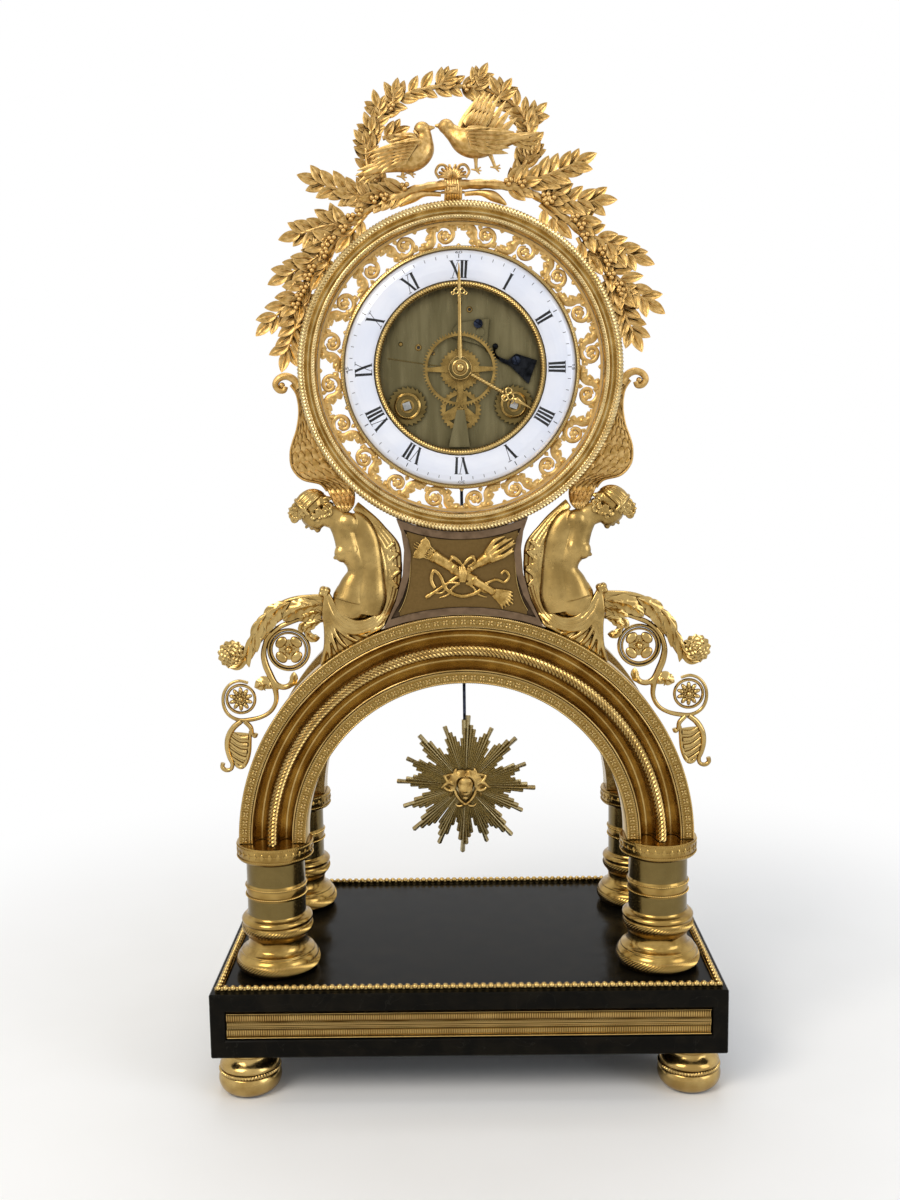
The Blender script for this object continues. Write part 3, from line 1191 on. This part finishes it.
def bell_and_hammer():
    rim = BELL_RIM_DEPTH
    crown = rim - BELL_HEIGHT
    outer_shares = ((0.62, 0.06), (0.86, 0.30), (0.96, 0.66), (1.0, 1.0))
    bore = ARBOR_RADIUS + 2 * SEAT_GAP
    outer = [(share * BELL_RADIUS, crown + height * BELL_HEIGHT) for share, height in outer_shares]
    inner = [(radius - BELL_WALL, depth + BELL_WALL) for radius, depth in outer[:-1]]
    inner.append((outer[-1][0] - BELL_WALL, rim))
    profile = [(bore, crown), *outer, *reversed(inner), (bore, crown + BELL_WALL)]
    shell = turned("bell", list(reversed(profile)), 16, closed=True)
    facing(shell, BELL_OFFSET_X, DIAL_HEIGHT + BELL_OFFSET_Z)
    finish(shell, "bell", BELL_METAL)

    x, z = hammer_place()
    head_x = HAMMER_REACH
    depth = REAR_PLATE_DEPTH - 2 * WHEEL_THICKNESS
    head_low = rim - 0.25 * BELL_HEIGHT
    pin = rod("arbor", ARBOR_RADIUS, depth, ARBOR_FRONT)
    tail = box("tail", (1.8 * ARBOR_RADIUS, HAMMER_TAIL, WHEEL_THICKNESS),
               (0.0, -HAMMER_TAIL / 2, PIN_WHEEL_DEPTH - PIN_LENGTH / 2))
    arm = box("arm", (head_x + ARBOR_RADIUS, 1.6 * ARBOR_RADIUS, WHEEL_THICKNESS),
              (head_x / 2, 0.0, depth + WHEEL_THICKNESS / 2))
    head = box("head", (0.30 * HAMMER_REACH, 0.34 * HAMMER_REACH, depth + WHEEL_THICKNESS - head_low),
               (head_x, 0.0, (depth + WHEEL_THICKNESS + head_low) / 2))
    for part in (tail, arm, head):
        facing(part, x, z)
    piece = arbor("hammer", [pin], x, z, POLISHED_STEEL)
    return finish(joined(piece, [tail, arm, head]), "hammer", POLISHED_STEEL)


# Cast ornament
def sided(points, side):
    return [(side * x, y) for x, y in points]


def figure(name, side):
    """A winged woman who leans out from the arch, draped from the hips down."""
    size = FIGURE_GRID
    foot = (0.0, ARCH_HEIGHT + ARCH_OUTER)
    body_shares = ((0.570, 0.020), (0.540, 0.115), (0.522, 0.215), (0.540, 0.335), (0.590, 0.440),
                   (0.655, 0.480), (0.745, 0.520))
    body_radius_shares = (0.095, 0.120, 0.098, 0.105, 0.085, 0.052, 0.040)
    cloak_shares = ((0.560, 0.540), (0.460, 0.460), (0.350, 0.365), (0.395, 0.325), (0.315, 0.235),
                    (0.350, 0.120), (0.440, 0.030), (0.560, 0.060), (0.560, 0.300))
    body = scaled_points(body_shares, size, foot)
    cloak = scaled_points(cloak_shares, size, foot)
    drape = [on_arch(turn, SEAT_GAP) for turn in (19.5, 23, 26, 29, 32, 35, 37)]
    knot_shares = ((0.760, -0.020), (0.762, 0.120), (0.740, 0.150), (0.640, 0.080), (0.500, 0.050))
    drape += scaled_points(knot_shares, size, foot)
    head = (0.785 * size, foot[1] + 0.555 * size)
    parts = [tube("body", [(side * x, y, 0.0) for x, y in body],
                  [share * size for share in body_radius_shares], 1),
             ball("head", (side * head[0], head[1], 0.0),
                  (0.072 * size, 0.062 * size, 0.060 * size), 10, 7, side * math.radians(-28)),
             ball("hair", (side * (head[0] + 0.02 * size), head[1] + 0.030 * size, 0.0),
                  (0.090 * size, 0.042 * size, 0.064 * size), 10, 6, side * math.radians(-28)),
             ball("thigh", (side * 0.620 * size, foot[1] + 0.070 * size, 0.0),
                  (0.125 * size, 0.085 * size, 0.085 * size), 10, 7, side * math.radians(14)),
             ball("breast", (side * 0.655 * size, foot[1] + 0.315 * size, 0.03 * size),
                  (0.045 * size, 0.042 * size, 0.05 * size), 8, 6)]
    parts.append(flat("cloak", [sided(cloak, side)], 0.062 * size, -0.031 * size))
    parts.append(flat("drape", [sided(drape, side)], 0.115 * size, -0.0575 * size))
    for part in parts[:-2]:
        facing(part)
    stand_up(parts[-2:], 0.0, 0.0)
    piece = joined(parts[-1], parts[:-1])
    ground = rod("ground", ARCH_OUTER + 1.3 * SEAT_GAP, -size, size, 0.0, ARCH_HEIGHT, 120)
    beside = flat("beside", [plinth_outline(-PLINTH_SEAT - SEAT_GAP)], size, -size / 2)
    beside.rotation_euler = (math.pi / 2, 0.0, 0.0)
    rim = rod("rim", BEZEL_RADIUS + SEAT_GAP, -size, size, 0.0, DIAL_HEIGHT, 120)
    piece = cut(piece, [facing(ground), beside, facing(rim)])
    box_depth = max(abs(corner[1]) for corner in world_corners(piece))
    squeeze = FIGURE_THICKNESS / (2 * box_depth)
    world = piece.matrix_world.copy()
    forward = Matrix.Translation((0.0, -FIGURE_DEPTH, 0.0))
    squash = forward @ Matrix.Diagonal((1.0, squeeze, 1.0, 1.0))
    piece.data.transform(world.inverted() @ squash @ world)
    return finish(smooth(piece), name, BURNISHED_GILT)


def world_corners(obj):
    return [obj.matrix_world @ vertex.co for vertex in obj.data.vertices]


def wing(name, side):
    """A feathered wing that rises from the shoulder along the bezel and curls outwards."""
    place_shares = ((139, 0.085), (133, 0.030), (124, -0.015), (109, -0.015), (98, -0.015),
                    (94, 0.030), (92, 0.090), (94, 0.130), (97, 0.115), (97.5, 0.095),
                    (95.5, 0.090), (95, 0.055), (98, 0.028), (105, 0.042), (113, 0.109),
                    (115, 0.160), (120, 0.191), (123, 0.182), (129, 0.138), (134, 0.125))
    outline = [on_bezel(turn, share * FIGURE_GRID) for turn, share in place_shares]
    plate = flat("wing", [sided(outline, side)], WING_THICKNESS, WING_BACK_DEPTH)
    stand_up([plate], 0.0, 0.0)
    return finish(solid(plate), name, MATTE_GILT)


def scroll(name, side):
    """The acanthus tail: a tapering stem with two rosette rings and a palmette below."""
    size = FIGURE_GRID

    def path(table):
        return [(side * x, y, 0.0) for x, y in (on_arch(turn, share * size) for turn, share in table)]

    tail_height_shares = ((32.5, 0.235), (35, 0.300), (38.5, 0.335), (42.5, 0.335), (46.5, 0.300),
                          (49, 0.270), (51, 0.290), (52.5, 0.345), (52, 0.400), (50.2, 0.405))
    tail_radius_shares = (0.062, 0.058, 0.054, 0.046, 0.034, 0.018, 0.017, 0.022, 0.030, 0.026)
    branch_height_shares = ((44.5, 0.290), (47, 0.197), (50, 0.115), (51.5, 0.080), (53.5, 0.052),
                            (56, 0.045), (59, 0.077), (61.5, 0.141), (61.5, 0.218), (59, 0.281),
                            (56.3, 0.300))
    hook_height_shares = ((50, 0.115), (50.5, 0.055), (48, 0.008), (44.5, 0.022), (43.5, 0.070))
    palm_height_shares = ((61, 0.129), (63.5, 0.090), (66.5, 0.095), (69.5, 0.070), (72, 0.060),
                          (73, 0.110), (72, 0.150))
    palm_radius_shares = (1.0, 3.0, 4.2, 3.0, 1.5, 1.0, 1.3)
    parts = [tube("tail", path(tail_height_shares), [r * size for r in tail_radius_shares], 1),
             tube("branch", path(branch_height_shares),
                  [1.3 * SCROLL_ROD] * len(branch_height_shares), 0),
             tube("hook", path(hook_height_shares), [SCROLL_ROD] * len(hook_height_shares), 0),
             tube("palm", path(palm_height_shares),
                  [share * SCROLL_ROD for share in palm_radius_shares], 0)]
    ring_shares = (("first", 41.8, 0.180, 1.40, 4), ("second", 57.2, 0.206, 1.12, 5))
    for ring_name, turn, share, radius, petals in ring_shares:
        centre = on_arch(turn, share * size)
        centre = (side * centre[0], centre[1])
        outer = radius * ROSETTE_RADIUS
        windows = crossings(0.34 * outer, outer - 0.5 * SCROLL_ROD, petals, 0.0)
        outlines = [circle(outer + SCROLL_ROD, 14, centre)]
        outlines += [[(centre[0] + x, centre[1] + y) for x, y in window] for window in windows]
        parts.append(flat(ring_name, outlines, 2 * SCROLL_ROD, -SCROLL_ROD))
    flats = [part for part in parts if part.name.startswith(("first", "second"))]
    tubes = [part for part in parts if part not in flats]
    stand_up(flats, 0.0, 0.0)
    for part in tubes:
        facing(part)
    link_start = on_arch(45, 0.300 * size)
    link_end = on_arch(43, 0.190 * size)
    link_path = [(side * x, y, 0.0) for x, y in (link_start, link_end)]
    link = tube("link", link_path, [SCROLL_ROD] * 2, 1)
    piece = joined(parts[0], [*parts[1:], facing(link)])
    ground = rod("ground", ARCH_OUTER + 1.3 * SEAT_GAP, -size, size, 0.0, ARCH_HEIGHT, 120)
    reach = 0.762 * size + SEAT_GAP
    stop = box("stop", (reach, size, size), (side * reach / 2, 0.0, ARCH_HEIGHT + ARCH_OUTER))
    piece = cut(piece, [facing(ground), stop])
    world = piece.matrix_world.copy()
    forward = Matrix.Translation((0.0, -SCROLL_DEPTH, 0.0))
    piece.data.transform(world.inverted() @ forward @ world)
    return finish(smooth(piece), name, BURNISHED_GILT)


def leaf(base, tip, width, depth, lift):
    """A pointed leaf from its base to its tip, its blade a little tilted forward."""
    reach = Vector((tip[0] - base[0], tip[1] - base[1], lift))
    middle = Vector((base[0], base[1], depth)) + reach / 2

    def build(shape):
        bmesh.ops.create_uvsphere(shape, u_segments=4, v_segments=2, radius=1.0)
        turn = reach.to_track_quat("Z", "Y").to_matrix().to_4x4()
        stretch = Matrix.Diagonal((width / 2, LEAF_THICKNESS / 2, reach.length / 2, 1.0))
        bmesh.ops.transform(shape, matrix=Matrix.Translation(middle) @ turn @ stretch, verts=shape.verts)
    return facing(mesh_object("leaf", build))


def leafy_twig(start, end, pairs, lift_share):
    """A straight twig with a leaf at its tip and pairs along its sides."""
    direction = Vector((end[0] - start[0], end[1] - start[1]))
    along = direction.normalized()
    across = Vector((-along.y, along.x))
    offset = LEAF_STAGGER
    tip_reach = 0.8 * LEAF_LENGTH
    root = (end[0] - along.x * offset, end[1] - along.y * offset)
    tip = (end[0] + along.x * tip_reach, end[1] + along.y * tip_reach)
    leaves = [leaf(root, tip, LEAF_WIDTH, SPRAY_DEPTH + 0.7 * offset, 0.0)]
    for number in range(pairs):
        share = 0.25 + 0.65 * number / max(1, pairs - 1)
        for side in (-1, 1):
            shift = side * offset
            base = (start[0] + direction.x * share + across.x * shift + along.x * shift,
                    start[1] + direction.y * share + across.y * shift + along.y * shift)
            reach = (0.62 * along + 0.78 * side * across) * LEAF_LENGTH * (1.0 - 0.2 * share)
            lift = lift_share * LEAF_THICKNESS * (1 if (number + (side > 0)) % 2 else -1)
            leaves.append(leaf(base, (base[0] + reach.x, base[1] + reach.y), LEAF_WIDTH,
                               SPRAY_DEPTH + 0.6 * shift, lift))
    return leaves


def spray(name, stem_height_shares, cluster_height_shares):
    """A laurel branch that hugs the bezel, with leafy twigs fanning outwards."""
    size = FIGURE_GRID
    stem_points = [on_bezel(turn, share * size) for turn, share in stem_height_shares]
    radii = [SPRAY_STEM * (1.0 - 0.55 * i / (len(stem_points) - 1)) for i in range(len(stem_points))]
    stem = facing(tube("stem", [(x, y, SPRAY_DEPTH) for x, y in stem_points], radii, 1))
    parts = []
    for (turn, share), (tip_turn, tip_share), pairs in cluster_height_shares:
        start = on_bezel(turn, share * size)
        tip = on_bezel(tip_turn, tip_share * size)
        end = (start[0] + 0.72 * (tip[0] - start[0]), start[1] + 0.72 * (tip[1] - start[1]))
        twig = tube("twig", [(*start, SPRAY_DEPTH), (*end, SPRAY_DEPTH)],
                    [0.5 * SPRAY_STEM, 0.3 * SPRAY_STEM], 0)
        parts.append(facing(twig))
        parts += leafy_twig(start, end, pairs, 0.8)
    piece = joined(stem, parts)
    rim = rod("rim", BEZEL_RADIUS + SEAT_GAP, 0.0, 2 * BEZEL_FRONT_DEPTH, 0.0, 0.0, 120)
    piece = cut(piece, [facing(rim, z=DIAL_HEIGHT)])
    return finish(piece, name, MATTE_GILT)


def sprays():
    left_stem_shares = ((-4.6, 0.088), (-14, 0.086), (-25, 0.080), (-36, 0.066), (-48, 0.045),
                        (-60, 0.030), (-71, 0.022))
    left_cluster_shares = (((-24, 0.080), (-39, 0.400), 3), ((-38, 0.060), (-53, 0.270), 3),
                           ((-48, 0.045), (-65, 0.200), 2), ((-60, 0.030), (-79, 0.205), 2),
                           ((-70, 0.024), (-88, 0.080), 1), ((-22, 0.080), (-30, 0.160), 1))
    right_stem_shares = ((1.4, 0.088), (12, 0.092), (22, 0.096), (34, 0.085), (46, 0.066),
                         (58, 0.048), (70, 0.026))
    right_cluster_shares = (((18, 0.096), (33, 0.400), 3), ((32, 0.085), (43, 0.300), 3),
                            ((44, 0.066), (62, 0.250), 2), ((57, 0.048), (75, 0.220), 2),
                            ((68, 0.030), (84, 0.060), 1), ((28, 0.092), (52, 0.160), 1))
    spray("spray_left", left_stem_shares, left_cluster_shares)
    spray("spray_right", right_stem_shares, right_cluster_shares)


def wreath():
    """A leafy arch over the doves, rooted behind the two branches."""
    size = FIGURE_GRID
    crown = (0.0, DIAL_HEIGHT + BEZEL_RADIUS)
    path_shares = ((-0.385, 0.010), (-0.410, 0.115), (-0.455, 0.215), (-0.450, 0.320),
                   (-0.395, 0.425), (-0.315, 0.510), (-0.205, 0.560), (-0.075, 0.580),
                   (0.060, 0.575), (0.170, 0.555), (0.265, 0.505), (0.340, 0.430),
                   (0.365, 0.330), (0.350, 0.230), (0.300, 0.130), (0.270, 0.050))
    path = scaled_points(path_shares, size, crown)
    stem = facing(tube("stem", [(x, y, WREATH_DEPTH) for x, y in path], [WREATH_STEM] * len(path), 1))
    leaves = []
    for number in range(1, len(path) - 2):
        start = Vector(path[number])
        along = (Vector(path[number + 1]) - start).normalized()
        if number > len(path) // 2:
            along = -along
        across = Vector((-along.y, along.x))
        for side in (-1, 1):
            reach = (0.55 * along + 0.62 * side * across) * LEAF_LENGTH * 0.95
            tip = start + reach
            lift = 0.5 * LEAF_THICKNESS * side
            leaves.append(leaf(start, tip, LEAF_WIDTH, WREATH_DEPTH, -abs(lift)))
    top = Vector(path[9])
    leaves.append(leaf(top, (top.x - 0.024 * size, top.y + 0.119 * size), LEAF_WIDTH, WREATH_DEPTH, 0.0))
    return finish(joined(stem, leaves), "wreath", MATTE_GILT)


def dove(name, body_shares, radius_shares, beak_shares, flat_shares, leg_shares):
    """A dove as a swelling body with its head, beak, wings and legs."""
    size = DOVE_GRID
    crown = (0.0, DIAL_HEIGHT + BEZEL_RADIUS)

    def place(shares):
        return [(x, y, 0.0) for x, y in scaled_points(shares, size, crown)]

    body = facing(tube("body", place(body_shares), [share * size for share in radius_shares], 1))
    head = ball("head", place(body_shares)[-1], (0.095 * size,) * 3, 8, 6)
    beak = tube("beak", place(beak_shares), [0.045 * size, 0.018 * size], 1)
    parts = [facing(head), facing(beak)]
    for shares, thick in flat_shares:
        blade = flat("wing", [scaled_points(shares, size, crown)], thick * size, -thick * size / 2)
        parts += stand_up([blade], 0.0, 0.0)
    for start, end in leg_shares:
        (x0, y0), (x1, y1) = scaled_points((start, end), size, crown)
        lean = (SPRAY_DEPTH - DOVE_DEPTH) / DOVE_THICKNESS_SHARE
        parts.append(facing(tube("leg", [(x0, y0, 0.0), (x1, y1, lean)], [0.024 * size] * 2, 0)))
    piece = joined(body, parts)
    world = piece.matrix_world.copy()
    forward = Matrix.Translation((0.0, -DOVE_DEPTH, 0.0))
    squash = forward @ Matrix.Diagonal((1.0, DOVE_THICKNESS_SHARE, 1.0, 1.0))
    piece.data.transform(world.inverted() @ squash @ world)
    return finish(smooth(piece), name, MATTE_GILT)


def doves():
    left_body_shares = ((-0.98, 0.24), (-0.80, 0.34), (-0.62, 0.42), (-0.44, 0.47), (-0.30, 0.52),
                        (-0.29, 0.60), (-0.34, 0.67))
    left_wing_shares = ((-0.92, 0.29), (-0.62, 0.36), (-0.34, 0.46), (-0.42, 0.60), (-0.62, 0.60),
                        (-0.72, 0.44))
    dove("dove_left", left_body_shares, (0.03, 0.07, 0.12, 0.155, 0.13, 0.085, 0.06),
         ((-0.32, 0.68), (-0.22, 0.70)), ((left_wing_shares, 0.18),), (((-0.48, 0.34), (-0.48, 0.214)),))
    right_body_shares = ((0.66, 0.56), (0.48, 0.52), (0.30, 0.50), (0.12, 0.50), (-0.02, 0.54),
                         (-0.06, 0.62), (-0.08, 0.69))
    raised_wing_shares = ((-0.02, 0.66), (0.10, 0.86), (0.28, 1.01), (0.34, 0.80), (0.34, 0.60),
                          (0.12, 0.55))
    fan_shares = ((0.30, 0.58), (0.38, 0.84), (0.46, 0.98), (0.58, 0.86), (0.66, 0.66),
                  (0.56, 0.52))
    dove("dove_right", right_body_shares, (0.05, 0.10, 0.14, 0.165, 0.14, 0.085, 0.06),
         ((-0.10, 0.70), (-0.20, 0.71)), ((raised_wing_shares, 0.12), (fan_shares, 0.08)),
         (((0.16, 0.36), (0.16, 0.250)), ((0.36, 0.38), (0.40, 0.262))))


def ribbon_knot():
    """The ribbon that ties the two branches, a bound bundle with two loops above it."""
    x, y = around((0.0, DIAL_HEIGHT), BEZEL_RADIUS, -1.8)
    size = KNOT_WIDTH
    bundle = ball("bundle", (x, y + 0.86 * size, SPRAY_DEPTH),
                  (0.42 * size, 0.84 * size, 0.62 * size), 10, 8)
    loops = []
    for side in (-1, 1):
        centre = (x + side * 0.42 * size, y + 1.86 * size, SPRAY_DEPTH + 0.1 * size)
        loop = ball("loop", centre, (0.36 * size, 0.46 * size, 0.34 * size), 8, 6, side * -0.5)
        loops.append(facing(loop))
    piece = joined(facing(bundle), loops)
    return finish(smooth(piece), "ribbon_knot", MATTE_GILT)


def main():
    clear_scene()
    marble_base()
    feet()
    bead_border()
    front_strip()
    columns()
    arch("front_arch", -1)
    arch("rear_arch", 1)
    plinth()
    trophy()
    bezel()
    fretted_dial_plate()
    enamel_dial()
    dial_inner_ring()
    front_plate()
    rear_plate()
    cocks()
    motion_work()
    going_train()
    strike_train()
    winding()
    strike_lever()
    hands()
    anchor()
    back_cock()
    pendulum()
    bell_and_hammer()
    for label, side in (("left", -1), ("right", 1)):
        figure("figure_" + label, side)
        wing("wing_" + label, side)
        scroll("scroll_" + label, side)
    sprays()
    wreath()
    doves()
    ribbon_knot()


main()
